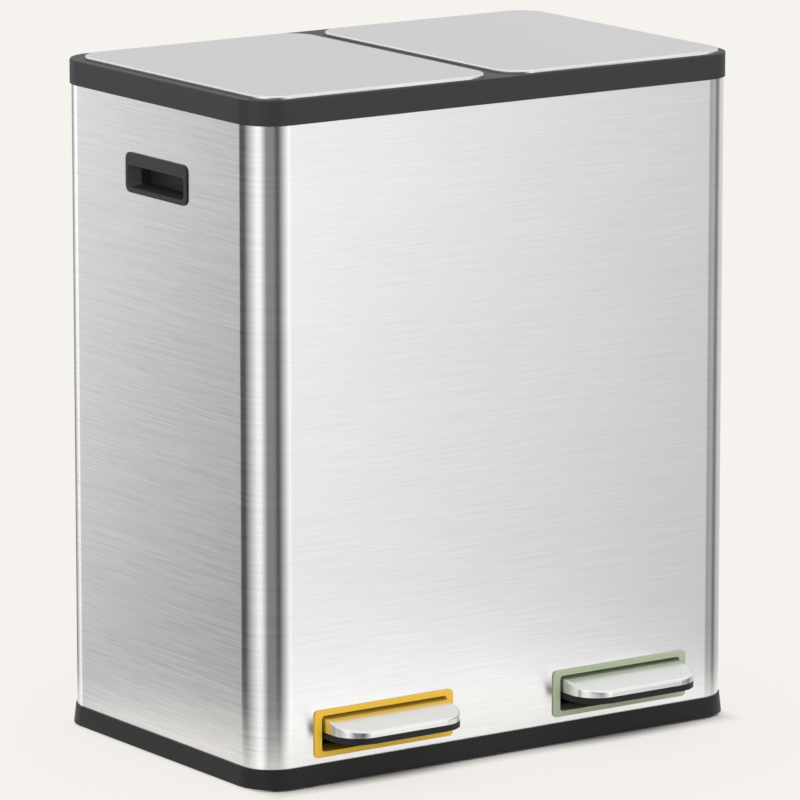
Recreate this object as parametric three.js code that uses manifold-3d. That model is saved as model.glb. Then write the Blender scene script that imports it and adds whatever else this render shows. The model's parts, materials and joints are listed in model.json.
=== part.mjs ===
// Double pedal bin for sorting waste: a brushed steel shell on a moulded base, two lids that
// open by themselves, two lift-out buckets, and for each lid a pedal, a lever, a push rod and a
// damper. Millimetres and degrees. X runs left to right, the front faces -Y, Z is up from the floor.
import * as THREE from "three";
import { mergeVertices } from "three/addons/utils/BufferGeometryUtils.js";
import Module from "manifold-3d";

const wasm = await Module();
wasm.setup();

// ---------------------------------------------------------------- driving dimensions
const CLEARANCE = 0.3; // between pieces that seat on each other
const STEEL = 0.8; // sheet of the shell, the lids and the pedal covers
const PLASTIC = 2.5; // wall of the moulded frames

const BIN_WIDTH = 544; // outside of the steel shell
const BIN_DEPTH = 344;
const BIN_CORNER = 34;
const RIM_TOP = 645; // top face of the upper frame
const RIM_BAND = 23.5; // height of the black band below it
const RIM_OVERHANG = 1.8; // the band stands this far outside the shell
const RIM_CHAMFER = 0.8;
const FLANGE = 3; // top plate of the upper frame
const COLLAR_DEPTH = 30; // the collars round the two mouths hang this far down

const BASE_BAND_TOP = 20.5; // top edge of the skirt round the base
const BASE_LIP = 1.4; // its overhang at the top
const BASE_FLARE = 3.5; // its overhang at the bottom
const SKIRT_LIFT = 2; // skirt above the floor
const GROOVE_WALL = 3; // moulded floor of the groove that the shell stands in
const DECK = 3; // plate that carries the buckets
const RIB = 2; // thickness of the stiffening ribs
const DECK_RIB_HEIGHT = 14;
const DECK_RIB_OFFSET = 44; // ribs from the middle of each pedal's lever
const FENCE_HEIGHT = 5; // low fence round each bucket's foot
const FENCE_PLAY = 1;

const LID_GAP = 17; // between the two lids
const LID_SIDE_MARGIN = 10; // from the band's outer face to the lid
const LID_FRONT_MARGIN = 3.8;
const LID_REAR_MARGIN = 17;
const LID_CORNER = 28;
const LID_EDGE = 3; // height of the folded edge
const LID_FOLD = 1.2; // its outside radius
const LID_PANEL_LIFT = 0.6; // underside of the inner panel above the upper frame
const LID_PLUG = 13; // the inner panel's skirt below the rim
const LID_PLUG_PLAY = 3; // between that skirt and the mouth
const LID_RIB_DEPTH = 8; // the panel's ribs below the rim
const LID_OPEN = 80;

const THROAT_INSET = 12; // from the lid's edge to the mouth, at the front and the sides
const THROAT_CORNER = 20;
const HEEL_PLAY = 1.85; // between the sweep of a lid's heel and the mouth's rear wall
const BUCKET_PLAY = 1.5; // between a bucket's rim and the mouth
const BUCKET_DROP = 3; // rim below the mouth's collar
const BUCKET_LIP = 4;
const BUCKET_LIP_HEIGHT = 10;
const BUCKET_WALL = 2.2;
const BUCKET_TAPER = 12;

const HINGE_INSET = 10; // hinge axis from the shell's rear face
const HINGE_DEPTH = 5.5; // hinge axis below the rim's top
const HINGE_PIN_RADIUS = 2;
const KNUCKLE_RADIUS = 4.5;
const KNUCKLE_WIDTH = 14;
const KNUCKLE_SPREAD = 90; // outer knuckles from the lid's centre
const KNUCKLE_PLAY = 0.5;
const EAR_WIDTH = 5;
const EAR_MARGIN = 1.5; // an ear reaches this far beyond the knuckle
const SLOT_PLAY = 1; // round what swings through a slot in the flange
const ARM_REACH = 15; // the knuckle arms start this far in front of the hinge axis
const HEEL_WIDTH = 12;
const CAM_BASE = 18; // base circle of the involute heel: the rod rises this far per radian
const CAM_DROP = 27; // toe of the heel below the hinge axis when the lid is shut
const TOE_ROUND = 1.6; // the toe is cut back by this much

const ROD_RADIUS = 3;
const ROD_HEAD_RADIUS = 8;
const ROD_HEAD_HEIGHT = 6;
const ROD_FOOT_RADIUS = 6;
const ROD_FOOT_HEIGHT = 5;
const SOCKET_FLOOR = 2; // material left under a blind hole
const DAMPER_RADIUS = 15;
const DAMPER_WALL = 2;
const DAMPER_HEIGHT = 120;
const GLAND_HEIGHT = 12;
const GLAND_STEP = 1.5; // the screwed gland stands this far outside the cylinder
const PISTON_HEIGHT = 8;
const PISTON_REST = 20; // piston above the cylinder's floor when the lid is shut
const PISTON_PLAY = 0.4;
const COVER_WALL = 1.5;
const COVER_PLAY = 2.5; // between the gland and the channel that covers it
const COVER_FLANGE = 10;
const COVER_TOP_GAP = 6; // top of the channel below the rod's head
const COVER_WEB_DROP = 10; // the web that guides the rod, below the channel's top
const COVER_WEB_GAP = 5; // and in front of the rear wall

const BEZEL_WIDTH = 156;
const BEZEL_HEIGHT = 45;
const BEZEL_BOTTOM = 26.5;
const BEZEL_CORNER = 4;
const BEZEL_FLANGE = 2;
const BEZEL_CHAMFER = 0.7;
const BEZEL_BORDER_SIDE = 7.5;
const BEZEL_BORDER_TOP = 5.5;
const SLEEVE_WALL = 2;
const SLEEVE_DEPTH = 22;

const PIVOT_SETBACK = 87; // lever pivot behind the shell's front face
const PIVOT_HEIGHT = 50;
const LEVER_WIDTH = 30;
const LEVER_HEIGHT = 10;
const LEVER_WALL = 2;
const LEVER_DROP = 14.5; // centre of the lever's nose below the pivot
const NOSE_RADIUS = 6.5;
const LEVER_PIN_RADIUS = 3;
const PIN_HEAD_RADIUS = 4.8;
const PIN_HEAD = 1.5;
const PIN_END = 1; // the pin's plain end stands this far out of its lug
const LUG_WIDTH = 4;
const LUG_RADIUS = 8;

const PEDAL_WIDTH = 138;
const PEDAL_REACH = 45.5; // tip in front of the shell
const PEDAL_CORNER = 28;
const PEDAL_BOTTOM = 44.5;
const PEDAL_BASE = 5.7; // thickness of the black base under the steel
const PEDAL_TAIL = 6; // base behind the shell's front face
const PEDAL_TOP_GAP = 1; // top of the cover below the sleeve
const PEDAL_TIP_FALL = 8; // the cover's top falls this much towards the tip
const PEDAL_ROUND = 2.5;
const PEDAL_SCREW_RADIUS = 2;
const PEDAL_SCREW_LENGTH = 8;
const PEDAL_SCREW_HEAD = 1.4;
const PEDAL_HEEL_CORNER = 2; // rear corners of the black base
const PEDAL_SPIGOT = 3; // the rim on the base that locates the steel
const COVER_HEEL_CORNER = 0.5;
const TONGUE_MARGIN = 7; // the lever's tongue runs this far past its front screw

const CUP_LENGTH = 104;
const CUP_HEIGHT = 38;
const CUP_DROP = 93; // centre of the hand grips below the rim's top
const CUP_CORNER = 6.5;
const CUP_FLANGE = 1.5;
const CUP_CHAMFER = 0.6;
const CUP_BORDER = 4;
const CUP_GRIP = 12; // depth of the grip bar at the top
const CUP_SLOPE = 9; // the mouth narrows by this much each side
const CUP_SLOPE_DEPTH = 8;
const CUP_SILL = 1;
const CUP_DEPTH = 20;
const CUP_WALL = 2;

const FOOT_RADIUS = 12;
const FOOT_HEIGHT = 5;
const FOOT_ROUND = 1.2;
const FOOT_SOCKET = 2.3; // depth of the pad's seat
const FOOT_INSET = 32; // pad's centre from the shell's faces
const BUMPER_RADIUS = 3.5;
const BUMPER_HEIGHT = 2;
const BUMPER_ROUND = 0.6;
const BUMPER_INSET = 5.2; // bumper's centre behind the lid's front edge
const HEAD_SPREAD = 2.1; // radius of a screw's head for a shank of radius 1
const SHELL_SCREW_RADIUS = 1.7;
const SHELL_SCREW_HEAD = 1.7;
const SHELL_SCREW_LENGTH = 9;
const SHELL_SCREW_HEIGHT = 45;

const CORNER_STEPS = 6; // facets in a quarter turn of a wide corner
const INNER_STEPS = 4; // of the mouths, buckets and inner skirts
const TIGHT_STEPS = 3; // and of a tight corner
const ROUND_STEPS = 16; // facets round a wide shaft
const THIN_STEPS = 10; // and round a thin one
const THIN_RADIUS = 5;
const CAM_STEPS = 8;
const EASE = 1 - Math.SQRT1_2; // how far the middle of a round edge lies from each face, for radius 1
const OVERCUT = 1; // cutters run this far past what they open, and joined forms into each other

// ---------------------------------------------------------------- places that follow
const HALF_WIDTH = BIN_WIDTH / 2;
const HALF_DEPTH = BIN_DEPTH / 2;
const RIM_BOTTOM = RIM_TOP - RIM_BAND;
const FLANGE_UNDERSIDE = RIM_TOP - FLANGE;
const COLLAR_BOTTOM = RIM_TOP - COLLAR_DEPTH;
const CUP_CENTRE = RIM_TOP - CUP_DROP;
const GROOVE_FLOOR = SKIRT_LIFT + GROOVE_WALL;
const SHELL_BOTTOM = GROOVE_FLOOR + CLEARANCE;
const SHELL_TOP = FLANGE_UNDERSIDE - CLEARANCE;

const BEZEL_TOP = BEZEL_BOTTOM + BEZEL_HEIGHT;
const DECK_UNDERSIDE = BEZEL_TOP + 5 * CLEARANCE;
const DECK_TOP = DECK_UNDERSIDE + DECK;
const ON_DECK = DECK_TOP + CLEARANCE;

const LID_OUTER_EDGE = HALF_WIDTH + RIM_OVERHANG - LID_SIDE_MARGIN;
const LANE_X = (LID_OUTER_EDGE + LID_GAP / 2) / 2; // centre of one lid, bucket and pedal
const LID_HALF = (LID_OUTER_EDGE - LID_GAP / 2) / 2;
const LID_FRONT = -(HALF_DEPTH + RIM_OVERHANG) + LID_FRONT_MARGIN;
const LID_REAR = HALF_DEPTH + RIM_OVERHANG - LID_REAR_MARGIN;
const BUMPER_Y = LID_FRONT + BUMPER_INSET;
const LID_BOTTOM = RIM_TOP + CLEARANCE;
const LID_TOP = LID_BOTTOM + LID_EDGE;
const PANEL_BOTTOM = RIM_TOP + LID_PANEL_LIFT;
const PANEL_TOP = LID_TOP - STEEL - CLEARANCE;
const PANEL_MIDDLE = (PANEL_BOTTOM + PANEL_TOP) / 2;

const HINGE_Y = HALF_DEPTH - HINGE_INSET;
const HINGE_Z = RIM_TOP - HINGE_DEPTH;
const TOE_RADIUS = Math.hypot(CAM_BASE, CAM_DROP);
const ROD_Y = HINGE_Y - CAM_BASE;
const ROD_HOLE = ROD_RADIUS + CLEARANCE;
const PIN_HOLE = HINGE_PIN_RADIUS + CLEARANCE;
const PIN_HALF = KNUCKLE_SPREAD + KNUCKLE_WIDTH / 2 + KNUCKLE_PLAY + EAR_WIDTH;
const LEVER_PIN_HOLE = LEVER_PIN_RADIUS + CLEARANCE;
const GLAND_RADIUS = DAMPER_RADIUS + GLAND_STEP;
const COVER_HALF = GLAND_RADIUS + COVER_PLAY + COVER_WALL;
const THROAT_REAR = Math.min(
  HINGE_Y - TOE_RADIUS - HEEL_PLAY - PLASTIC,
  ROD_Y - GLAND_RADIUS - COVER_WALL - 2 * CLEARANCE,
);
const COVER_FRONT = THROAT_REAR + CLEARANCE;

const PIVOT_Y = -HALF_DEPTH + PIVOT_SETBACK;
const NOSE_Z = PIVOT_HEIGHT - LEVER_DROP;
const FOOT_BOTTOM = NOSE_Z + NOSE_RADIUS + CLEARANCE;
const HEAD_TOP = HINGE_Z - CAM_DROP - CLEARANCE;
const HEAD_BOTTOM = HEAD_TOP - ROD_HEAD_HEIGHT;
const COVER_TOP = HEAD_BOTTOM - COVER_TOP_GAP;

const PEDAL_TIP = -HALF_DEPTH - PEDAL_REACH;
const PEDAL_BASE_TOP = PEDAL_BOTTOM + PEDAL_BASE;
const TONGUE_BOTTOM = PEDAL_BASE_TOP + CLEARANCE;
const SLEEVE_TOP = BEZEL_TOP - BEZEL_BORDER_TOP;

const BUCKET_TOP = COLLAR_BOTTOM - BUCKET_DROP;
const BUCKET_FLOOR = ON_DECK;
const BUCKET_CORNER = THROAT_CORNER - BUCKET_PLAY - BUCKET_LIP;

// ---------------------------------------------------------------- materials
const finish = (color, roughness, metalness) =>
  new THREE.MeshStandardMaterial({ color, roughness, metalness });
const brushedSteel = finish(0xd2d1cd, 0.3, 1);
const zincSteel = finish(0xb9bbbd, 0.4, 1);
const blackPlastic = finish(0x35353a, 0.6, 0);
const greyPlastic = finish(0x4a4b4d, 0.55, 0);
const bucketPlastic = finish(0x77797b, 0.6, 0);
const yellowPlastic = finish(0xe0a92a, 0.45, 0);
const greenPlastic = finish(0x9fb08a, 0.45, 0);
const rubber = finish(0x1f1f20, 0.85, 0);

// ---------------------------------------------------------------- geometry to solids and back
function solidOf(geometry) {
  const bare = geometry.clone();
  bare.deleteAttribute("normal");
  bare.deleteAttribute("uv");
  const merged = mergeVertices(bare, 1e-4);
  return new wasm.Manifold(
    new wasm.Mesh({
      numProp: 3,
      vertProperties: new Float32Array(merged.attributes.position.array),
      triVerts: new Uint32Array(merged.index.array),
    }),
  );
}

function geometryOf(solid) {
  const { vertProperties, triVerts } = solid.getMesh();
  const geometry = new THREE.BufferGeometry();
  geometry.setAttribute("position", new THREE.BufferAttribute(new Float32Array(vertProperties), 3));
  geometry.setIndex(new THREE.BufferAttribute(new Uint32Array(triVerts), 1));
  geometry.computeVertexNormals();
  return geometry;
}

const placed = (solid, matrix) => solidOf(geometryOf(solid).applyMatrix4(matrix));
const moved = (solid, x, y, z) => placed(solid, new THREE.Matrix4().makeTranslation(x, y, z));
const join = (solids) => solids.reduce((all, one) => all.add(one));

// ---------------------------------------------------------------- basic forms
const rect = (x0, x1, y0, y1) => ({ x0, x1, y0, y1 });
const grow = (r, by) => rect(r.x0 - by, r.x1 + by, r.y0 - by, r.y1 + by);
const shift = (r, x) => rect(r.x0 + x, r.x1 + x, r.y0, r.y1);
const centred = (width, height) => rect(-width / 2, width / 2, -height / 2, height / 2);

// A rounded rectangle, counter-clockwise from its lower right corner.
function outline(r, lower, upper = lower, steps = CORNER_STEPS) {
  const corners = [
    [r.x1 - lower, r.y0 + lower, lower, -90],
    [r.x1 - upper, r.y1 - upper, upper, 0],
    [r.x0 + upper, r.y1 - upper, upper, 90],
    [r.x0 + lower, r.y0 + lower, lower, 180],
  ];
  return corners.flatMap(([x, y, radius, start]) =>
    Array.from({ length: steps + 1 }, (_, i) => {
      const angle = THREE.MathUtils.degToRad(start + (90 * i) / steps);
      return [x + radius * Math.cos(angle), y + radius * Math.sin(angle)];
    }),
  );
}

const ring = (points, height) =>
  points.map(([x, y]) => [x, y, typeof height === "function" ? height(y) : height]);

// A closed body through flat rings of equal length, lowest first.
function loft(rings) {
  const count = rings[0].length;
  const top = (rings.length - 1) * count;
  const index = [];
  for (let base = 0; base < top; base += count)
    for (let i = 0; i < count; i++) {
      const next = base + ((i + 1) % count);
      index.push(base + i, next, next + count, base + i, next + count, base + i + count);
    }
  for (let i = 1; i + 1 < count; i++) index.push(0, i + 1, i, top, top + i, top + i + 1);
  const geometry = new THREE.BufferGeometry();
  geometry.setAttribute("position", new THREE.Float32BufferAttribute(rings.flat(2), 3));
  geometry.setIndex(index);
  return solidOf(geometry);
}

function slab(r, corner, z0, z1, steps = CORNER_STEPS) {
  const points = outline(r, corner, corner, steps);
  return loft([ring(points, z0), ring(points, z1)]);
}

const tight = (r, corner) => outline(r, corner, corner, TIGHT_STEPS);
const innerRing = (r, corner, height) => ring(outline(r, corner, corner, INNER_STEPS), height);
const facets = (radius) => (radius < THIN_RADIUS ? THIN_STEPS : ROUND_STEPS);

function box(x0, x1, y0, y1, z0, z1) {
  const geometry = new THREE.BoxGeometry(x1 - x0, y1 - y0, z1 - z0);
  geometry.translate((x0 + x1) / 2, (y0 + y1) / 2, (z0 + z1) / 2);
  return solidOf(geometry);
}

// A cylinder along X through (y, z).
function shaftX(radius, y, z, x0, x1) {
  const geometry = new THREE.CylinderGeometry(radius, radius, x1 - x0, facets(radius));
  geometry.rotateZ(Math.PI / 2);
  geometry.translate((x0 + x1) / 2, y, z);
  return solidOf(geometry);
}

// A cylinder along Z through (x, y).
function shaftZ(radius, x, y, z0, z1) {
  const geometry = new THREE.CylinderGeometry(radius, radius, z1 - z0, facets(radius));
  geometry.rotateX(Math.PI / 2);
  geometry.translate(x, y, (z0 + z1) / 2);
  return solidOf(geometry);
}

// Cutters that run past both ends.
const boreZ = (radius, x, y, z0, z1) => shaftZ(radius, x, y, z0 - OVERCUT, z1 + OVERCUT);
const boreX = (radius, y, z, half, x = 0) => shaftX(radius, y, z, x - half - OVERCUT, x + half + OVERCUT);
const well = (r, corner, z0, z1, steps = CORNER_STEPS) =>
  slab(r, corner, z0 - OVERCUT, z1 + OVERCUT, steps);

// A turned piece about Z from a profile of [radius, height] that starts and ends on the axis.
function turned(profile) {
  const geometry = new THREE.LatheGeometry(
    profile.map(([radius, height]) => new THREE.Vector2(radius, height)),
    facets(Math.max(...profile.map(([radius]) => radius))),
  );
  geometry.rotateX(Math.PI / 2);
  return solidOf(geometry);
}

// A profile in the YZ plane, swept along X.
function sweepX(shape, x0, x1) {
  const geometry = new THREE.ExtrudeGeometry(shape, {
    depth: x1 - x0,
    bevelEnabled: false,
    curveSegments: THIN_STEPS / 2,
  });
  const basis = [new THREE.Vector3(0, 1, 0), new THREE.Vector3(0, 0, 1), new THREE.Vector3(1, 0, 0)];
  geometry.applyMatrix4(new THREE.Matrix4().makeBasis(...basis));
  geometry.translate(x0, 0, 0);
  return solidOf(geometry);
}

const profile = (points) => new THREE.Shape(points.map(([y, z]) => new THREE.Vector2(y, z)));

// Frames for what is set into a wall: local Z points out of the wall, local Y is up.
const upright = (x, y, z) =>
  new THREE.Matrix4().makeTranslation(x, y, z).multiply(new THREE.Matrix4().makeRotationX(Math.PI / 2));
const turnedRound = (angle, matrix) => new THREE.Matrix4().makeRotationZ(angle).multiply(matrix);
const onFront = (x, z) => upright(x, -HALF_DEPTH, z);
const onSide = (side) => turnedRound((side * Math.PI) / 2, upright(0, -HALF_WIDTH, CUP_CENTRE));
const onRear = (x, z) => turnedRound(Math.PI, onFront(-x, z));

// ---------------------------------------------------------------- shared outlines
const shellPlan = rect(-HALF_WIDTH, HALF_WIDTH, -HALF_DEPTH, HALF_DEPTH);
const insidePlan = grow(shellPlan, -STEEL - CLEARANCE); // what fits inside the shell
const INSIDE_CORNER = BIN_CORNER - STEEL - CLEARANCE;
const lidPlan = rect(-LID_HALF, LID_HALF, LID_FRONT, LID_REAR);
const throatPlan = rect(
  -LID_HALF + THROAT_INSET,
  LID_HALF - THROAT_INSET,
  LID_FRONT + THROAT_INSET,
  THROAT_REAR,
);
const bucketRim = grow(throatPlan, -BUCKET_PLAY);
const bucketTop = grow(bucketRim, -BUCKET_LIP);
const bucketBottom = grow(bucketTop, -BUCKET_TAPER);
const sleevePlan = centred(
  BEZEL_WIDTH - 2 * BEZEL_BORDER_SIDE + 2 * SLEEVE_WALL,
  BEZEL_HEIGHT - 2 * BEZEL_BORDER_TOP + 2 * SLEEVE_WALL,
);
const cupPlan = centred(CUP_LENGTH, CUP_HEIGHT);
const cupSleeve = grow(cupPlan, -CUP_BORDER);
const LANES = [-1, 1];
const FOOT_X = HALF_WIDTH - FOOT_INSET;
const FOOT_Y = HALF_DEPTH - FOOT_INSET;
const SCREW_PLACES = [-LANE_X - 1.5 * LEVER_WIDTH, -LANE_X / 2, LANE_X / 2, LANE_X + 1.5 * LEVER_WIDTH];

// The hinge has a knuckle at each end of the lid and the heel in the middle.
const KNUCKLES = [
  { x: -KNUCKLE_SPREAD, width: KNUCKLE_WIDTH },
  { x: 0, width: HEEL_WIDTH },
  { x: KNUCKLE_SPREAD, width: KNUCKLE_WIDTH },
];

// ---------------------------------------------------------------- shell, upper frame and base
const windowCut = (plan, corner, matrix) =>
  placed(slab(grow(plan, CLEARANCE), corner, -SLEEVE_DEPTH, BASE_FLARE + OVERCUT, TIGHT_STEPS), matrix);
const bezelCut = (side) =>
  windowCut(sleevePlan, BEZEL_CORNER, onFront(side * LANE_X, BEZEL_BOTTOM + BEZEL_HEIGHT / 2));
const screwCut = (x) =>
  placed(
    shaftZ(SHELL_SCREW_RADIUS + CLEARANCE, 0, 0, -SHELL_SCREW_LENGTH - CLEARANCE, OVERCUT),
    onRear(x, SHELL_SCREW_HEIGHT),
  );

function outerShell() {
  const bend = BIN_CORNER - STEEL;
  let shell = slab(shellPlan, BIN_CORNER, SHELL_BOTTOM, SHELL_TOP);
  shell = shell.subtract(well(grow(shellPlan, -STEEL), bend, SHELL_BOTTOM, SHELL_TOP));
  for (const side of LANES) {
    shell = shell.subtract(bezelCut(side));
    shell = shell.subtract(windowCut(cupSleeve, CUP_BORDER, onSide(side)));
  }
  for (const x of SCREW_PLACES) shell = shell.subtract(screwCut(x));
  return shell;
}

// Ears that carry the hinge pin, hung from the upper frame beside each knuckle.
function hingeEars() {
  const reach = KNUCKLE_RADIUS + EAR_MARGIN;
  return KNUCKLES.flatMap(({ x, width }) =>
    LANES.map((side) => {
      const near = x + side * (width / 2 + KNUCKLE_PLAY);
      const far = near + side * EAR_WIDTH;
      return box(
        Math.min(near, far),
        Math.max(near, far),
        HINGE_Y - reach,
        insidePlan.y1 - PLASTIC / 2,
        HINGE_Z - reach,
        FLANGE_UNDERSIDE + OVERCUT,
      );
    }),
  );
}

// Slots in the flange that the knuckle arms and the heel swing through.
function hingeSlots() {
  const rear = HINGE_Y + KNUCKLE_RADIUS + SLOT_PLAY;
  return KNUCKLES.map(({ x, width }) => {
    const half = width / 2 + KNUCKLE_PLAY;
    const front = HINGE_Y - (x === 0 ? TOE_RADIUS : ARM_REACH) - SLOT_PLAY;
    return box(x - half, x + half, front, rear, FLANGE_UNDERSIDE - OVERCUT, RIM_TOP + OVERCUT);
  });
}

function topFrame() {
  const bandPlan = grow(shellPlan, RIM_OVERHANG);
  const bandCorner = BIN_CORNER + RIM_OVERHANG;
  const bandTop = outline(grow(bandPlan, -RIM_CHAMFER), bandCorner - RIM_CHAMFER);
  let frame = loft([
    ring(outline(bandPlan, bandCorner), RIM_BOTTOM),
    ring(outline(bandPlan, bandCorner), RIM_TOP - RIM_CHAMFER),
    ring(bandTop, RIM_TOP),
  ]);
  const inside = grow(shellPlan, CLEARANCE);
  frame = frame.subtract(slab(inside, BIN_CORNER + CLEARANCE, RIM_BOTTOM - OVERCUT, FLANGE_UNDERSIDE));
  const wall = slab(insidePlan, INSIDE_CORNER, COLLAR_BOTTOM, FLANGE_UNDERSIDE + OVERCUT);
  const hollow = slab(
    grow(insidePlan, -PLASTIC),
    INSIDE_CORNER - PLASTIC,
    COLLAR_BOTTOM - OVERCUT,
    FLANGE_UNDERSIDE,
  );
  frame = frame.add(wall.subtract(hollow));
  for (const side of LANES) {
    const mouth = shift(throatPlan, side * LANE_X);
    const collar = grow(mouth, PLASTIC);
    const collarTop = FLANGE_UNDERSIDE + OVERCUT;
    frame = frame.add(slab(collar, THROAT_CORNER + PLASTIC, COLLAR_BOTTOM, collarTop, INNER_STEPS));
    frame = frame.add(moved(join(hingeEars()), side * LANE_X, 0, 0));
    frame = frame.subtract(well(mouth, THROAT_CORNER, COLLAR_BOTTOM, RIM_TOP, INNER_STEPS));
    frame = frame.subtract(moved(join(hingeSlots()), side * LANE_X, 0, 0));
    frame = frame.subtract(boreX(PIN_HOLE, HINGE_Y, HINGE_Z, PIN_HALF, side * LANE_X));
    for (const end of LANES)
      frame = frame.subtract(
        shaftZ(
          BUMPER_RADIUS + CLEARANCE,
          side * LANE_X + end * KNUCKLE_SPREAD,
          BUMPER_Y,
          RIM_TOP - BUMPER_HEIGHT,
          RIM_TOP + OVERCUT,
        ),
      );
  }
  return frame;
}

const deckRibs = (laneX) => {
  const low = DECK_UNDERSIDE - DECK_RIB_HEIGHT;
  const front = -HALF_DEPTH + SLEEVE_DEPTH + PLASTIC;
  const rear = insidePlan.y1 - PLASTIC / 2;
  return LANES.map((side) => {
    const x = laneX + side * DECK_RIB_OFFSET;
    return box(x - RIB / 2, x + RIB / 2, front, rear, low, DECK_UNDERSIDE + OVERCUT);
  });
};

// Two lugs under the deck hold the lever's pin.
const leverLugs = (laneX) =>
  LANES.map((side) => {
    const near = laneX + side * (LEVER_WIDTH / 2 + KNUCKLE_PLAY);
    const far = near + side * LUG_WIDTH;
    const lug = new THREE.Shape();
    lug.absarc(PIVOT_Y, PIVOT_HEIGHT, LUG_RADIUS, Math.PI, 2 * Math.PI, false);
    lug.lineTo(PIVOT_Y + LUG_RADIUS * 1.5, DECK_UNDERSIDE + OVERCUT);
    lug.lineTo(PIVOT_Y - LUG_RADIUS * 1.5, DECK_UNDERSIDE + OVERCUT);
    lug.closePath();
    return sweepX(lug, Math.min(near, far), Math.max(near, far));
  });

// A low fence on the deck keeps a bucket in its place.
function bucketFence(laneX) {
  const inner = grow(shift(bucketBottom, laneX), FENCE_PLAY);
  const corner = BUCKET_CORNER + FENCE_PLAY;
  const top = DECK_TOP + FENCE_HEIGHT;
  const fence = slab(grow(inner, RIB), corner + RIB, DECK_TOP - OVERCUT, top, INNER_STEPS);
  return fence.subtract(well(inner, corner, DECK_TOP - OVERCUT, top, INNER_STEPS));
}

function baseTray() {
  const skirtRing = (by, z) => ring(outline(grow(shellPlan, by), BIN_CORNER + by), z);
  let tray = loft([skirtRing(BASE_FLARE, SKIRT_LIFT), skirtRing(BASE_LIP, BASE_BAND_TOP)]);
  const groove = slab(
    grow(shellPlan, CLEARANCE),
    BIN_CORNER + CLEARANCE,
    GROOVE_FLOOR,
    BASE_BAND_TOP + OVERCUT,
  );
  tray = tray.subtract(groove);
  tray = tray.add(slab(insidePlan, INSIDE_CORNER, SKIRT_LIFT, DECK_TOP));
  tray = tray.subtract(
    slab(grow(insidePlan, -PLASTIC), INSIDE_CORNER - PLASTIC, SKIRT_LIFT - OVERCUT, DECK_UNDERSIDE),
  );
  const extras = [box(-RIB / 2, RIB / 2, -FOOT_Y, FOOT_Y, DECK_UNDERSIDE - DECK_RIB_HEIGHT, DECK_TOP)];
  const socketBottom = FOOT_HEIGHT + CLEARANCE - FOOT_SOCKET;
  for (const side of LANES) {
    extras.push(...deckRibs(side * LANE_X), ...leverLugs(side * LANE_X), bucketFence(side * LANE_X));
    for (const end of LANES)
      extras.push(
        shaftZ(FOOT_RADIUS + PLASTIC + CLEARANCE, side * FOOT_X, end * FOOT_Y, socketBottom, DECK_TOP),
      );
  }
  for (const x of SCREW_PLACES)
    extras.push(
      placed(
        shaftZ(3 * SHELL_SCREW_RADIUS, 0, 0, -SHELL_SCREW_LENGTH - SOCKET_FLOOR, -STEEL - 2 * CLEARANCE),
        onRear(x, SHELL_SCREW_HEIGHT),
      ),
    );
  tray = tray.add(join(extras));
  for (const side of LANES) {
    tray = tray.subtract(bezelCut(side));
    tray = tray.subtract(boreZ(ROD_HOLE, side * LANE_X, ROD_Y, DECK_UNDERSIDE, DECK_TOP));
    const lugs = LEVER_WIDTH / 2 + KNUCKLE_PLAY + LUG_WIDTH;
    tray = tray.subtract(boreX(LEVER_PIN_HOLE, PIVOT_Y, PIVOT_HEIGHT, lugs, side * LANE_X));
    for (const end of LANES)
      tray = tray.subtract(
        shaftZ(
          FOOT_RADIUS + CLEARANCE,
          side * FOOT_X,
          end * FOOT_Y,
          socketBottom - OVERCUT,
          FOOT_HEIGHT + CLEARANCE,
        ),
      );
  }
  for (const x of SCREW_PLACES) tray = tray.subtract(screwCut(x));
  return tray;
}

// ---------------------------------------------------------------- small pieces of the body
const footPad = () =>
  turned([
    [0, 0],
    [FOOT_RADIUS - FOOT_ROUND, 0],
    [FOOT_RADIUS, FOOT_ROUND],
    [FOOT_RADIUS, FOOT_HEIGHT],
    [0, FOOT_HEIGHT],
  ]);

const lidBumper = () =>
  turned([
    [0, 0],
    [BUMPER_RADIUS, 0],
    [BUMPER_RADIUS, BUMPER_HEIGHT - BUMPER_ROUND],
    [BUMPER_RADIUS - BUMPER_ROUND, BUMPER_HEIGHT],
    [0, BUMPER_HEIGHT],
  ]);

// A pan-head screw whose head seats at height 0 and whose shank points down.
const screw = (radius, length, headHeight) =>
  turned([
    [0, -length],
    [radius * 0.6, -length],
    [radius, -length + radius],
    [radius, 0],
    [radius * HEAD_SPREAD, 0],
    [radius * HEAD_SPREAD, headHeight * 0.5],
    [radius * 1.4, headHeight],
    [0, headHeight],
  ]);

const bezelOuter = centred(BEZEL_WIDTH, BEZEL_HEIGHT);

// A coloured surround: a flange on the shell's face and a sleeve that lines the pedal's window.
function pedalBezel() {
  const face = CLEARANCE + BEZEL_FLANGE;
  const bezel = loft([
    ring(tight(bezelOuter, BEZEL_CORNER), CLEARANCE),
    ring(tight(bezelOuter, BEZEL_CORNER), face - BEZEL_CHAMFER),
    ring(tight(grow(bezelOuter, -BEZEL_CHAMFER), BEZEL_CORNER - BEZEL_CHAMFER), face),
  ]).add(
    slab(sleevePlan, BEZEL_CORNER, -SLEEVE_DEPTH + CLEARANCE, face - BEZEL_CHAMFER, TIGHT_STEPS),
  );
  const hole = grow(sleevePlan, -SLEEVE_WALL);
  return bezel.subtract(well(hole, BEZEL_CORNER - SLEEVE_WALL / 2, -SLEEVE_DEPTH, face, TIGHT_STEPS));
}

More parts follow.
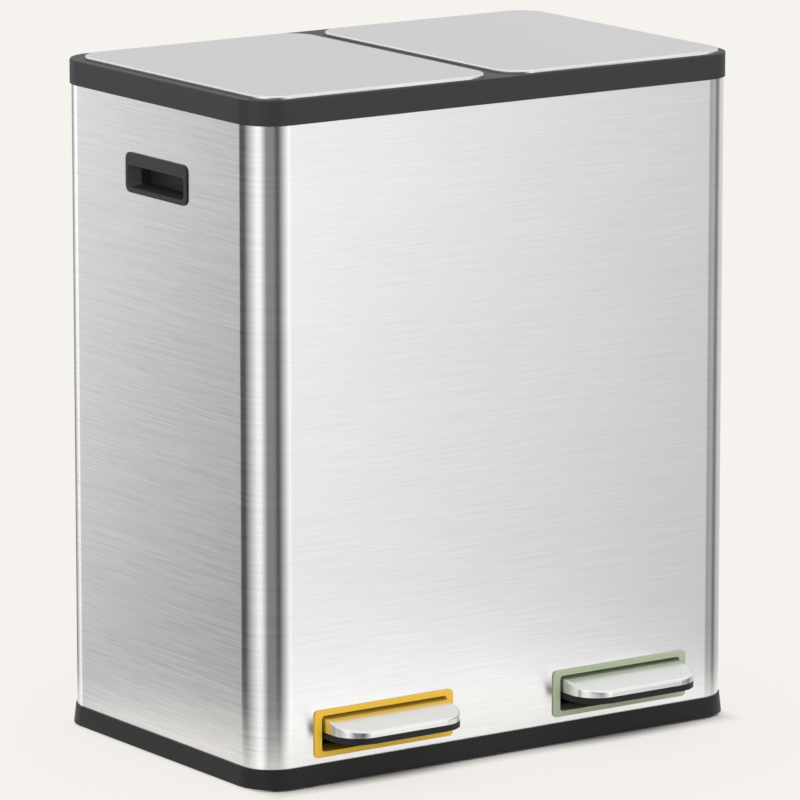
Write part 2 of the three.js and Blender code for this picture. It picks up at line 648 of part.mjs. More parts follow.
// A recessed hand grip: a flange, a mouth with sloping walls, and room above for the fingers.
function handleCup() {
  const face = CLEARANCE + CUP_FLANGE;
  let cup = loft([
    ring(tight(cupPlan, CUP_CORNER), CLEARANCE),
    ring(tight(cupPlan, CUP_CORNER), face - CUP_CHAMFER),
    ring(tight(grow(cupPlan, -CUP_CHAMFER), CUP_CORNER - CUP_CHAMFER), face),
  ]);
  cup = cup.add(slab(cupSleeve, CUP_BORDER, -CUP_DEPTH, face - CUP_CHAMFER, TIGHT_STEPS));
  const top = cupPlan.y1 - CUP_GRIP;
  const mouth = rect(cupSleeve.x0, cupSleeve.x1, cupSleeve.y0 + CUP_SILL, top);
  const throat = rect(mouth.x0 + CUP_SLOPE, mouth.x1 - CUP_SLOPE, mouth.y0 + CUP_WALL, top);
  const pocket = rect(throat.x0, throat.x1, throat.y0, cupSleeve.y1 - CUP_WALL);
  cup = cup.subtract(
    loft([
      ring(tight(throat, CUP_BORDER), -CUP_SLOPE_DEPTH),
      ring(tight(mouth, CUP_BORDER), face + CLEARANCE),
    ]),
  );
  return cup.subtract(
    slab(pocket, CUP_BORDER, -CUP_DEPTH + CUP_WALL, -CUP_SLOPE_DEPTH + CUP_WALL, TIGHT_STEPS),
  );
}

// ---------------------------------------------------------------- one lane: bucket, lid and its drive
function innerBucket() {
  const corner = BUCKET_CORNER;
  const rimCorner = corner + BUCKET_LIP;
  const lip = slab(bucketRim, rimCorner, BUCKET_TOP - BUCKET_LIP_HEIGHT, BUCKET_TOP, INNER_STEPS);
  const underLip = slab(
    grow(bucketRim, -BUCKET_WALL),
    rimCorner - BUCKET_WALL,
    BUCKET_TOP - BUCKET_LIP_HEIGHT - OVERCUT,
    BUCKET_TOP - BUCKET_WALL,
    INNER_STEPS,
  );
  const body = loft([
    innerRing(grow(bucketBottom, -BUCKET_WALL), corner, BUCKET_FLOOR),
    innerRing(bucketBottom, corner, BUCKET_FLOOR + BUCKET_WALL),
    innerRing(bucketTop, corner, BUCKET_TOP),
  ]);
  const inner = loft([
    innerRing(grow(bucketBottom, -BUCKET_WALL), corner - BUCKET_WALL, BUCKET_FLOOR + BUCKET_WALL),
    innerRing(grow(bucketTop, -BUCKET_WALL), corner - BUCKET_WALL, BUCKET_TOP + OVERCUT),
  ]);
  return lip.subtract(underLip).add(body).subtract(inner);
}

function lidPlate() {
  const edge = (by, z) => ring(outline(grow(lidPlan, -by), LID_CORNER - by), z);
  const outer = loft([
    edge(0, LID_BOTTOM),
    edge(0, LID_TOP - LID_FOLD),
    edge(LID_FOLD * EASE, LID_TOP - LID_FOLD * EASE),
    edge(LID_FOLD, LID_TOP),
  ]);
  return outer.subtract(
    slab(grow(lidPlan, -STEEL), LID_CORNER - STEEL, LID_BOTTOM - OVERCUT, LID_TOP - STEEL),
  );
}

// The arm from the inner panel down to a knuckle, passing under the lid's rear edge.
function knuckleArm(width) {
  const root = LID_REAR - STEEL - 2 * CLEARANCE;
  const arm = profile([
    [HINGE_Y - ARM_REACH, RIM_TOP - KNUCKLE_RADIUS / 3],
    [HINGE_Y - KNUCKLE_RADIUS, HINGE_Z - KNUCKLE_RADIUS * 0.75],
    [HINGE_Y, HINGE_Z - KNUCKLE_RADIUS],
    [HINGE_Y, HINGE_Z + KNUCKLE_RADIUS],
    [root, RIM_TOP - CLEARANCE],
    [root, PANEL_MIDDLE],
    [HINGE_Y - ARM_REACH, PANEL_MIDDLE],
  ]);
  return sweepX(arm, -width / 2, width / 2).add(
    shaftX(KNUCKLE_RADIUS, HINGE_Y, HINGE_Z, -width / 2, width / 2),
  );
}

// The heel's face is an involute of a circle about the hinge axis, so that it lifts the rod's
// flat head straight up by the same amount for each degree, always over the rod's own axis.
function heel() {
  const face = Array.from({ length: CAM_STEPS + 1 }, (_, i) => {
    const angle = THREE.MathUtils.degToRad((LID_OPEN * i) / CAM_STEPS);
    const height = CAM_BASE * angle - CAM_DROP;
    return [
      HINGE_Y - CAM_BASE * Math.cos(angle) - height * Math.sin(angle),
      HINGE_Z - CAM_BASE * Math.sin(angle) + height * Math.cos(angle),
    ];
  });
  // Beyond the last contact the heel runs on flat past the rear edge of the rod's head.
  const open = THREE.MathUtils.degToRad(LID_OPEN);
  const clear = ROD_HEAD_RADIUS + OVERCUT - CAM_BASE;
  const last = CAM_BASE * open - CAM_DROP;
  const relief = [
    HINGE_Y + clear * Math.cos(open) - last * Math.sin(open),
    HINGE_Z + clear * Math.sin(open) + last * Math.cos(open),
  ];
  const toe = [HINGE_Y - CAM_BASE - TOE_ROUND, HINGE_Z - CAM_DROP + TOE_ROUND];
  const back = [HINGE_Y + KNUCKLE_RADIUS, HINGE_Z];
  const front = [HINGE_Y - KNUCKLE_RADIUS, HINGE_Z];
  return sweepX(profile([...face, relief, back, front, toe]), -HEEL_WIDTH / 2, HEEL_WIDTH / 2);
}

function lidFrame() {
  const edge = STEEL + CLEARANCE;
  let frame = slab(grow(lidPlan, -edge), LID_CORNER - edge, PANEL_BOTTOM, PANEL_TOP);
  const plugPlan = grow(throatPlan, -LID_PLUG_PLAY);
  const plugCorner = THROAT_CORNER - LID_PLUG_PLAY;
  const plug = slab(plugPlan, plugCorner, RIM_TOP - LID_PLUG, PANEL_MIDDLE, INNER_STEPS);
  const bay = slab(
    grow(plugPlan, -PLASTIC),
    plugCorner - PLASTIC,
    RIM_TOP - LID_PLUG - OVERCUT,
    PANEL_BOTTOM,
    INNER_STEPS,
  );
  frame = frame.add(plug.subtract(bay));
  const ribPlan = grow(plugPlan, -PLASTIC / 2);
  const middle = (plugPlan.y0 + plugPlan.y1) / 2;
  const low = RIM_TOP - LID_RIB_DEPTH;
  const ribs = [-1, 0, 1].flatMap((k) => {
    const x = (k * LID_HALF) / 2;
    const y = middle + (k * LID_HALF) / 2;
    return [
      box(x - RIB / 2, x + RIB / 2, ribPlan.y0, ribPlan.y1, low, PANEL_MIDDLE),
      box(ribPlan.x0, ribPlan.x1, y - RIB / 2, y + RIB / 2, low, PANEL_MIDDLE),
    ];
  });
  frame = frame.add(join(ribs));
  for (const { x, width } of KNUCKLES) frame = frame.add(moved(knuckleArm(width), x, 0, 0));
  return frame.add(heel()).subtract(boreX(PIN_HOLE, HINGE_Y, HINGE_Z, PIN_HALF));
}

const hingePin = () => shaftX(HINGE_PIN_RADIUS, HINGE_Y, HINGE_Z, -PIN_HALF, PIN_HALF);

const pushRod = () =>
  shaftZ(
    ROD_RADIUS,
    0,
    ROD_Y,
    FOOT_BOTTOM + SOCKET_FLOOR + CLEARANCE,
    HEAD_TOP - SOCKET_FLOOR - CLEARANCE,
  );

// The rod's flat steel head under the lid's heel.
function rodHead() {
  const head = shaftZ(ROD_HEAD_RADIUS, 0, ROD_Y, HEAD_BOTTOM, HEAD_TOP);
  return head.subtract(shaftZ(ROD_HOLE, 0, ROD_Y, HEAD_BOTTOM - OVERCUT, HEAD_TOP - SOCKET_FLOOR));
}

// The rod's rubber foot on the lever's nose.
function rodFoot() {
  const top = FOOT_BOTTOM + ROD_FOOT_HEIGHT;
  const foot = shaftZ(ROD_FOOT_RADIUS, 0, ROD_Y, FOOT_BOTTOM, top);
  return foot.subtract(shaftZ(ROD_HOLE, 0, ROD_Y, FOOT_BOTTOM + SOCKET_FLOOR, top + OVERCUT));
}

function damperCylinder() {
  const top = ON_DECK + DAMPER_HEIGHT;
  const inner = DAMPER_RADIUS - DAMPER_WALL;
  return shaftZ(DAMPER_RADIUS, 0, ROD_Y, ON_DECK, top - OVERCUT)
    .add(shaftZ(GLAND_RADIUS, 0, ROD_Y, top - GLAND_HEIGHT, top))
    .subtract(shaftZ(inner, 0, ROD_Y, ON_DECK + PLASTIC, top - GLAND_HEIGHT / 2))
    .subtract(boreZ(ROD_HOLE, 0, ROD_Y, ON_DECK, top));
}

function damperPiston() {
  const bottom = ON_DECK + PLASTIC + PISTON_REST;
  const radius = DAMPER_RADIUS - DAMPER_WALL - PISTON_PLAY;
  const top = bottom + PISTON_HEIGHT;
  return shaftZ(radius, 0, ROD_Y, bottom, top).subtract(boreZ(ROD_HOLE, 0, ROD_Y, bottom, top));
}

// A folded channel against the rear wall covers the rod, and its web guides the rod's top.
function mechanismCover() {
  const back = insidePlan.y1;
  const inner = COVER_HALF - COVER_WALL;
  const outer = COVER_HALF + COVER_FLANGE;
  const webTop = COVER_TOP - COVER_WEB_DROP;
  const webFloor = webTop - COVER_WALL;
  const webEdge = inner + OVERCUT;
  const low = ON_DECK - OVERCUT;
  const high = COVER_TOP + OVERCUT;
  return box(-COVER_HALF, COVER_HALF, COVER_FRONT, back, ON_DECK, COVER_TOP)
    .add(box(-outer, outer, back - COVER_WALL, back, ON_DECK, COVER_TOP))
    .subtract(box(-inner, inner, COVER_FRONT + COVER_WALL, back + OVERCUT, low, high))
    .add(box(-webEdge, webEdge, COVER_FRONT + COVER_WALL / 2, back - COVER_WEB_GAP, webFloor, webTop))
    .subtract(boreZ(ROD_HOLE, 0, ROD_Y, webFloor, webTop));
}

const pedalPlan = (inset) =>
  rect(
    -PEDAL_WIDTH / 2 + inset,
    PEDAL_WIDTH / 2 - inset,
    PEDAL_TIP + inset,
    -HALF_DEPTH + PEDAL_TAIL,
  );
const PEDAL_SCREW_PLACES = [PEDAL_TIP + 0.4 * PEDAL_REACH, PEDAL_TIP + 0.8 * PEDAL_REACH];

// A slab whose front corners and rear corners differ.
function slabOf(r, front, rear, z0, z1) {
  const points = outline(r, front, rear, INNER_STEPS);
  return loft([ring(points, z0), ring(points, z1)]);
}

function pedalBase() {
  const part = (inset, z0, z1) =>
    slabOf(pedalPlan(inset), PEDAL_CORNER - inset, PEDAL_HEEL_CORNER, z0, z1);
  const inset = 2 * STEEL + CLEARANCE;
  const rim = part(inset, PEDAL_BASE_TOP - OVERCUT, PEDAL_BASE_TOP + PEDAL_SPIGOT);
  const bay = part(inset + RIB, PEDAL_BASE_TOP, PEDAL_BASE_TOP + PEDAL_SPIGOT + OVERCUT);
  let base = part(0, PEDAL_BOTTOM, PEDAL_BASE_TOP);
  base = base.add(rim.subtract(bay.add(moved(bay, 0, PEDAL_TAIL, 0))));
  const sink = HEAD_SPREAD * PEDAL_SCREW_RADIUS + CLEARANCE;
  const seat = PEDAL_BOTTOM + PEDAL_SCREW_HEAD + CLEARANCE;
  for (const y of PEDAL_SCREW_PLACES)
    base = base
      .subtract(boreZ(PEDAL_SCREW_RADIUS + CLEARANCE, 0, y, PEDAL_BOTTOM, PEDAL_BASE_TOP))
      .subtract(shaftZ(sink, 0, y, PEDAL_BOTTOM - OVERCUT, seat));
  return base;
}

function pedalCover() {
  const rear = -HALF_DEPTH + PEDAL_TAIL - CLEARANCE;
  const top = SLEEVE_TOP - PEDAL_TOP_GAP;
  const slope = PEDAL_TIP_FALL / (rear - PEDAL_TIP);
  const level = (drop) => (y) => top - (rear - y) * slope - drop;
  const points = (inset, tail) => {
    const r = pedalPlan(inset);
    return outline(rect(r.x0, r.x1, r.y0, rear + tail), PEDAL_CORNER - inset, COVER_HEEL_CORNER);
  };
  const outer = loft([
    ring(points(STEEL / 2, 0), TONGUE_BOTTOM),
    ring(points(STEEL / 2, 0), level(PEDAL_ROUND)),
    ring(points(STEEL / 2 + PEDAL_ROUND * EASE, 0), level(PEDAL_ROUND * EASE)),
    ring(points(STEEL / 2 + PEDAL_ROUND, 0), level(0)),
  ]);
  const inset = STEEL * 1.5;
  const inner = loft([
    ring(points(inset, PEDAL_TAIL), TONGUE_BOTTOM - OVERCUT),
    ring(points(inset, PEDAL_TAIL), level(PEDAL_ROUND)),
    ring(points(inset + PEDAL_ROUND, PEDAL_TAIL), level(STEEL)),
  ]);
  return outer.subtract(inner);
}

// A folded channel that is open below, with a solid nose under the rod and a tongue in the pedal.
function pedalLever() {
  const lean = Math.atan2(-LEVER_DROP, ROD_Y - PIVOT_Y);
  const half = LEVER_HEIGHT / 2;
  const at = (y, offset) => [
    y - Math.sin(lean) * offset,
    PIVOT_HEIGHT + (y - PIVOT_Y) * Math.tan(lean) + Math.cos(lean) * offset,
  ];
  const front = -HALF_DEPTH + SLEEVE_DEPTH / 2;
  const bar = sweepX(
    profile([at(front, -half), at(ROD_Y, -half), at(ROD_Y, half), at(front, half)]),
    -LEVER_WIDTH / 2,
    LEVER_WIDTH / 2,
  );
  const below = -half - LEVER_HEIGHT;
  const inside = sweepX(
    profile([
      at(front - LEVER_HEIGHT, below),
      at(ROD_Y - NOSE_RADIUS, below),
      at(ROD_Y - NOSE_RADIUS, half - LEVER_WALL),
      at(front - LEVER_HEIGHT, half - LEVER_WALL),
    ]),
    -LEVER_WIDTH / 2 + LEVER_WALL,
    LEVER_WIDTH / 2 - LEVER_WALL,
  );
  let lever = bar
    .subtract(inside)
    .add(shaftX(NOSE_RADIUS, ROD_Y, NOSE_Z, -LEVER_WIDTH / 2, LEVER_WIDTH / 2))
    .subtract(boreX(LEVER_PIN_HOLE, PIVOT_Y, PIVOT_HEIGHT, LEVER_WIDTH / 2));
  const tongueHalf = LEVER_WIDTH / 2 - LEVER_WALL / 2;
  const tip = PEDAL_SCREW_PLACES[0] - TONGUE_MARGIN;
  const tongueTop = TONGUE_BOTTOM + LEVER_WALL;
  const root = front + SLEEVE_DEPTH;
  lever = lever.add(box(-tongueHalf, tongueHalf, tip, root, TONGUE_BOTTOM, tongueTop));
  for (const y of PEDAL_SCREW_PLACES)
    lever = lever.subtract(boreZ(PEDAL_SCREW_RADIUS + CLEARANCE, 0, y, TONGUE_BOTTOM, tongueTop));
  return lever;
}

// The lever's pin, with a head at one end.
function leverPin() {
  const half = LEVER_WIDTH / 2 + KNUCKLE_PLAY + LUG_WIDTH + CLEARANCE;
  return shaftX(LEVER_PIN_RADIUS, PIVOT_Y, PIVOT_HEIGHT, -half, half + PIN_END).add(
    shaftX(PIN_HEAD_RADIUS, PIVOT_Y, PIVOT_HEIGHT, -half - PIN_HEAD, -half),
  );
}

// ---------------------------------------------------------------- assembly
const bin = new THREE.Group();

function add(parent, name, solid, material) {
  const mesh = new THREE.Mesh(geometryOf(solid), material);
  mesh.name = name;
  parent.add(mesh);
  return mesh;
}

add(bin, "outer_shell", outerShell(), brushedSteel);
add(bin, "top_frame", topFrame(), blackPlastic);
add(bin, "base_tray", baseTray(), blackPlastic);

for (const [row, y] of [["front", -FOOT_Y], ["rear", FOOT_Y]])
  for (const side of LANES) {
    const pad = add(bin, `foot_pad_${row}_${side < 0 ? "left" : "right"}`, footPad(), rubber);
    pad.position.set(side * FOOT_X, y, 0);
  }

SCREW_PLACES.forEach((x, i) => {
  const solid = screw(SHELL_SCREW_RADIUS, SHELL_SCREW_LENGTH, SHELL_SCREW_HEAD);
  const one = add(bin, `shell_screw_${i + 1}`, moved(solid, 0, 0, CLEARANCE), zincSteel);
  one.applyMatrix4(onRear(x, SHELL_SCREW_HEIGHT));
});

for (const side of LANES) {
  const hand = side < 0 ? "left" : "right";
  const cup = add(bin, `handle_cup_${hand}`, handleCup(), greyPlastic);
  cup.applyMatrix4(onSide(side));

  const lane = new THREE.Group();
  lane.position.x = side * LANE_X;
  bin.add(lane);

  const bezel = add(lane, `pedal_bezel_${hand}`, pedalBezel(), side < 0 ? yellowPlastic : greenPlastic);
  bezel.applyMatrix4(onFront(0, BEZEL_BOTTOM + BEZEL_HEIGHT / 2));
  LANES.forEach((end, i) => {
    const bumper = add(lane, `lid_bumper_${hand}_${i + 1}`, lidBumper(), rubber);
    bumper.position.set(end * KNUCKLE_SPREAD, BUMPER_Y, RIM_TOP - BUMPER_HEIGHT + CLEARANCE);
  });
  add(lane, `inner_bucket_${hand}`, innerBucket(), bucketPlastic);
  add(lane, `hinge_pin_${hand}`, hingePin(), zincSteel);
  add(lane, `lever_pin_${hand}`, leverPin(), zincSteel);
  add(lane, `damper_cylinder_${hand}`, damperCylinder(), greyPlastic);
  add(lane, `mechanism_cover_${hand}`, mechanismCover(), zincSteel);

  add(lane, `lid_plate_${hand}`, lidPlate(), brushedSteel);
  add(lane, `lid_frame_${hand}`, lidFrame(), greyPlastic);

  add(lane, `push_rod_${hand}`, pushRod(), zincSteel);
  add(lane, `rod_head_${hand}`, rodHead(), zincSteel);
  add(lane, `rod_foot_${hand}`, rodFoot(), rubber);
  add(lane, `damper_piston_${hand}`, damperPiston(), greyPlastic);

  add(lane, `pedal_cover_${hand}`, pedalCover(), brushedSteel);
  add(lane, `pedal_base_${hand}`, pedalBase(), blackPlastic);
  add(lane, `pedal_lever_${hand}`, pedalLever(), zincSteel);
  PEDAL_SCREW_PLACES.forEach((y, i) => {
    const solid = screw(PEDAL_SCREW_RADIUS, PEDAL_SCREW_LENGTH, PEDAL_SCREW_HEAD);
    const one = add(lane, `pedal_screw_${hand}_${i + 1}`, solid, zincSteel);
    one.rotation.x = Math.PI;
    one.position.set(0, y, PEDAL_BOTTOM + PEDAL_SCREW_HEAD);
  });
}

// The origin is on the floor under the middle of the whole object, pedals included.
const REARMOST = HALF_DEPTH + BASE_FLARE;
bin.position.y = -(PEDAL_TIP + REARMOST) / 2;

const part = new THREE.Group();
part.add(bin);
export default part;
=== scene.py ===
"""Looks of the double pedal bin: brushed steel shell and lids, black mouldings, coloured pedal
surrounds, buckets inside. Metres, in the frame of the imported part: +Z up, the front faces -Y."""
import json
import math

import bpy
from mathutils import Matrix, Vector


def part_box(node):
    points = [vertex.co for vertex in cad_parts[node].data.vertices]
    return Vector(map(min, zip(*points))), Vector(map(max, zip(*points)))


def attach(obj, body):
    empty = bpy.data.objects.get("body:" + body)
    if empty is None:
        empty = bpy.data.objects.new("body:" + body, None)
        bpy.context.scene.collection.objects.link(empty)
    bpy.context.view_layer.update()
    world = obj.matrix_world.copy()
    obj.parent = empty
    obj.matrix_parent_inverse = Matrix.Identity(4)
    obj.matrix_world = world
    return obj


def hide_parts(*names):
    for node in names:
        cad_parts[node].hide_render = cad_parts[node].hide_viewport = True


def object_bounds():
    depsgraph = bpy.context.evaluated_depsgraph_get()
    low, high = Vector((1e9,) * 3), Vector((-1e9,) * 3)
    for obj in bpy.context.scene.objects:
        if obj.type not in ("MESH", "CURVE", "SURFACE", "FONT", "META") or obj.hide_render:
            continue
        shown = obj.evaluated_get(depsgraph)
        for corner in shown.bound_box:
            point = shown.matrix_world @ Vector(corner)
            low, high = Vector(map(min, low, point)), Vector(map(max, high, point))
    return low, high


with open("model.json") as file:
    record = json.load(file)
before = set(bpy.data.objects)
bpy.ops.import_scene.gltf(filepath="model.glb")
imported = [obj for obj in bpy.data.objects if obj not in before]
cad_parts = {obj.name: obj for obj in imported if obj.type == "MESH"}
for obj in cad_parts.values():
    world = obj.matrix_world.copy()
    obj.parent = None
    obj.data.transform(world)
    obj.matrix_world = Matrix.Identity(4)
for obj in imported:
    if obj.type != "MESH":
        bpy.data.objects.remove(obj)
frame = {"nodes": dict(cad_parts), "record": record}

CAD_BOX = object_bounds()
MM = 0.001
SIDES = ("left", "right")

# ---------------------------------------------------------------- sizes that a box doesn't tell
SHEET = 0.8 * MM  # thickness of the steel
SHELL_CORNER = 34 * MM
LID_CORNER = 28 * MM
LID_FOLD = 1.5 * MM  # outside radius of the lid's folded edge
PEDAL_CORNER = 28 * MM  # the two corners at the pedal's tip
PEDAL_REAR_CORNER = 0.5 * MM
PEDAL_FOLD = 2.5 * MM
PEDAL_FALL = 8 * MM  # the pedal's top falls this much towards its tip
BEZEL_TO_WINDOW = (5.2 * MM, 3.2 * MM)  # surround's edge to the wall's window, sideways and upwards
GRIP_TO_WINDOW = 3.7 * MM  # the same for a hand grip, all round
EDGE_ROUNDING = 0.35 * MM  # on the pieces that keep their CAD shape

CORNER_STEPS = 28  # facets in a quarter turn of a corner
FOLD_STEPS = 6  # facets in a fold
CLEAR = 1 * MM  # a cutter sticks out this far past the face that it opens
REACH = 5 * MM  # and this far through a wall or past an open end
WELD_DISTANCE = 0.01 * MM
FLAT_ANGLE = math.radians(0.5)  # facets that meet at less than this are one flat face
SHARP_ANGLE = math.radians(32)  # those that meet at more than this have an edge between them


# ---------------------------------------------------------------- mesh building
def outline(x0, x1, y0, y1, front, rear=None):
    """A rectangle with rounded corners, counter-clockwise from its front right corner. Front and
    rear are the corners' radii, alike if only one is given."""
    rear = front if rear is None else rear
    corners = (
        (x1 - front, y0 + front, front, -90),
        (x1 - rear, y1 - rear, rear, 0),
        (x0 + rear, y1 - rear, rear, 90),
        (x0 + front, y0 + front, front, 180),
    )
    points = []
    for x, y, radius, start in corners:
        for i in range(CORNER_STEPS + 1):
            angle = math.radians(start + 90 * i / CORNER_STEPS)
            points.append((x + radius * math.cos(angle), y + radius * math.sin(angle)))
    return points


def ring(points, height):
    """The outline at one height, or at a height that depends on y."""
    return [(x, y, height(y) if callable(height) else height) for x, y in points]


def mesh_object(name, vertices, faces):
    """A new object in the scene."""
    mesh = bpy.data.meshes.new(name)
    mesh.from_pydata(vertices, [], faces)
    mesh.validate()
    piece = bpy.data.objects.new(name, mesh)
    bpy.context.scene.collection.objects.link(piece)
    return piece


def loft(name, rings):
    """A closed body through rings of equal length, with a cap on the first and the last."""
    count = len(rings[0])
    vertices = [point for points in rings for point in points]
    faces = [tuple(reversed(range(count))), tuple(range(len(vertices) - count, len(vertices)))]
    for base in range(0, len(vertices) - count, count):
        for i in range(count):
            after = (i + 1) % count
            faces.append((base + i, base + after, base + count + after, base + count + i))
    return mesh_object(name, vertices, faces)


def block(xs, ys, zs):
    """A box for cutting, between two values of x, of y and of z."""
    (x0, x1), (y0, y1) = xs, ys
    points = [(x0, y0), (x1, y0), (x1, y1), (x0, y1)]
    return loft("cutter", [ring(points, z) for z in zs])


def cut(piece, *cutters):
    """Takes the cutters out of the piece and deletes them."""
    for cutter in cutters:
        modifier = piece.modifiers.new("cut", "BOOLEAN")
        modifier.operation = "DIFFERENCE"
        modifier.solver = "MANIFOLD"
        modifier.object = cutter
    graph = bpy.context.evaluated_depsgraph_get()
    mesh = bpy.data.meshes.new_from_object(piece.evaluated_get(graph), depsgraph=graph)
    piece.modifiers.clear()
    piece.data = mesh
    for cutter in cutters:
        bpy.data.objects.remove(cutter)


def weigh_normals(piece):
    """Lets the large faces decide the shading, so that flat faces look flat."""
    weighted = piece.modifiers.new("weighted normals", "WEIGHTED_NORMAL")
    weighted.mode = "FACE_AREA"
    weighted.weight = 100
    weighted.keep_sharp = True


def smooth(piece):
    """Smooth shading between facets that meet at a small angle."""
    piece.data.shade_smooth()
    piece.data.set_sharp_from_angle(angle=SHARP_ANGLE)
    weigh_normals(piece)


def place(piece, body, slot, material, *nodes):
    """Hands a finished piece to its body, in the place of the nodes."""
    piece.data.materials.clear()
    piece.data.materials.append(material)
    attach(piece, body)
    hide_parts(*nodes)


# ---------------------------------------------------------------- node trees
BUMP_DISTANCE = 0.2 * MM


class Nodes:
    """A short way to build the node tree of a material or a world."""

    def __init__(self, tree):
        self.tree = tree
        tree.nodes.clear()

    def add(self, kind, settings=None, **inputs):
        """A new node with its settings, and with its inputs by name."""
        node = self.tree.nodes.new(kind)
        for key, value in (settings or {}).items():
            setattr(node, key, value)
        for key, value in inputs.items():
            self.set(node, key, value)
        return node

    def set(self, node, key, value):
        """Links a socket to an input, or gives the input a value. The key is a name or an index."""
        socket = node.inputs[int(key)] if key.isdigit() else node.inputs[key]
        if isinstance(value, bpy.types.NodeSocket):
            self.tree.links.new(value, socket)
        else:
            socket.default_value = value

    def math(self, operation, first, second=0.0):
        node = self.add("ShaderNodeMath", {"operation": operation})
        self.set(node, "0", first)
        self.set(node, "1", second)
        return node.outputs[0]

    def split(self, vector):
        """The vector's x, y and z."""
        return self.add("ShaderNodeSeparateXYZ", Vector=vector).outputs

    def noise(self, scale, detail=4.0, roughness=0.55, seed=0.0):
        """Noise from -0.5 to 0.5 over object space. The scale is in cells per metre, alike for all
        axes if only one is given."""
        place_of = self.add("ShaderNodeTexCoord").outputs["Object"]
        scale = scale if isinstance(scale, tuple) else (scale, scale, scale)
        moved = self.add("ShaderNodeMapping", Vector=place_of, Scale=scale, Location=(seed,) * 3)
        cells = self.add(
            "ShaderNodeTexNoise",
            Vector=moved.outputs[0],
            Scale=1.0,
            Detail=detail,
            Roughness=roughness,
        )
        return self.math("SUBTRACT", cells.outputs[0], 0.5)

    def spread(self, value, middle, amount):
        """middle + amount * value"""
        return self.math("ADD", self.math("MULTIPLY", value, amount), middle)

    def scaled(self, colour, factor):
        """A colour times a factor."""
        node = self.add("ShaderNodeVectorMath", {"operation": "SCALE"})
        self.set(node, "0", colour)
        self.set(node, "Scale", factor)
        return node.outputs[0]

    def run(self, value, start, end, low=0.0, high=1.0, curve="LINEAR"):
        """Goes from low to high while the value goes from start to end, and no further."""
        node = self.add("ShaderNodeMapRange", {"interpolation_type": curve}, Value=value)
        ends = {"From Min": start, "From Max": end, "To Min": low, "To Max": high}
        for key, level in ends.items():
            self.set(node, key, level)
        return node.outputs[0]

    def rays(self, *kinds):
        """1 for rays of one of these kinds, 0 for others."""
        path = self.add("ShaderNodeLightPath")
        found = path.outputs[kinds[0]]
        for kind in kinds[1:]:
            found = self.math("MAXIMUM", found, path.outputs[kind])
        return found

    def mix(self, factor, first, second):
        """The first shader where the factor is 0, the second where it is 1."""
        node = self.add("ShaderNodeMixShader", Fac=factor)
        self.set(node, "1", first)
        self.set(node, "2", second)
        return node.outputs[0]

    def vary(self, shader, colour, roughness, shade, gloss, bump):
        """Colour, roughness and relief of a shader. Shade, gloss and bump each say what the
        property follows, and how strongly."""
        factor = self.spread(shade[0], 1.0, shade[1])
        self.set(shader, "Base Color", self.scaled(colour, factor))
        self.set(shader, "Roughness", self.spread(gloss[0], roughness, gloss[1]))
        height, strength = bump
        node = self.add("ShaderNodeBump", Strength=strength, Distance=BUMP_DISTANCE, Height=height)
        self.set(shader, "Normal", node.outputs[0])


# ---------------------------------------------------------------- materials
BRUSH_LINES = (13.0, 640.0)  # noise cells per metre, along and across the fine brush lines
BRUSH_BANDS = (6.5, 260.0)  # the same for the broad bands among them
BAND_SHARE = 0.3  # of the bands, against the fine lines
CLOUD_SHARE = 0.15  # of the soft clouds
FRONT_GRAIN = 0.48  # strength of the brush lines on front, rear and lids; the side walls have 1
SIDE_FALL = 6.0  # power by which they weaken as a face turns away from the sides
BRUSHED_ROUGHNESS = 0.24


def material(name, build):
    """A material with one principled shader, filled in by the build function."""
    made = bpy.data.materials.new(name)
    made.use_nodes = True
    nodes = Nodes(made.node_tree)
    shader = nodes.add("ShaderNodeBsdfPrincipled")
    nodes.add("ShaderNodeOutputMaterial", Surface=shader.outputs[0])
    build(nodes, shader)
    return made


def brushed_steel(name, colour, lines_along="walls", contrast=1.0):
    """Satin steel. Its brush lines run level round the walls, or along X on a lid."""
    across, tangent = {"walls": (2, "Z"), "x": (1, "Y")}[lines_along]

    def cells(along, over):
        return tuple(over if axis == across else along for axis in range(3))

    def build(nodes, shader):
        facing = nodes.split(nodes.add("ShaderNodeTexCoord").outputs["Normal"])
        sideways = nodes.math("POWER", nodes.math("ABSOLUTE", facing[0]), SIDE_FALL)
        grain = nodes.spread(sideways, FRONT_GRAIN, 1 - FRONT_GRAIN)
        fine = nodes.noise(cells(*BRUSH_LINES), detail=3.0, roughness=0.75)
        lines = nodes.math("MULTIPLY", fine, grain)
        bands = nodes.math("MULTIPLY", nodes.noise(cells(*BRUSH_BANDS), seed=3.1), grain)
        cloud = nodes.noise((5.0, 5.0, 9.0), detail=2.0, seed=7.7)
        brushed = nodes.math("ADD", lines, nodes.math("MULTIPLY", bands, BAND_SHARE))
        clouded = nodes.math("ADD", brushed, nodes.math("MULTIPLY", cloud, CLOUD_SHARE))
        nodes.vary(
            shader,
            colour,
            BRUSHED_ROUGHNESS,
            shade=(clouded, 0.48 * contrast),
            gloss=(brushed, 0.10 * contrast),
            bump=(lines, 0.10 * contrast),
        )
        nodes.set(shader, "Metallic", 1.0)
        nodes.set(shader, "Anisotropic", 0.9)
        nodes.set(shader, "Anisotropic Rotation", 0.25)
        axis = nodes.add("ShaderNodeTangent", {"direction_type": "RADIAL", "axis": tangent})
        nodes.set(shader, "Tangent", axis.outputs[0])

    return material(name, build)


def satin_metal(name, colour, roughness):
    """Plain pressed or plated steel with faint scuffs."""

    def build(nodes, shader):
        scuffs = nodes.noise(220.0, detail=6.0, roughness=0.7)
        cloud = nodes.noise(14.0, detail=2.0, seed=5.0)
        shade, gloss, bump = (cloud, 0.10), (scuffs, 0.14), (scuffs, 0.05)
        nodes.vary(shader, colour, roughness, shade, gloss, bump)
        nodes.set(shader, "Metallic", 1.0)

    return material(name, build)


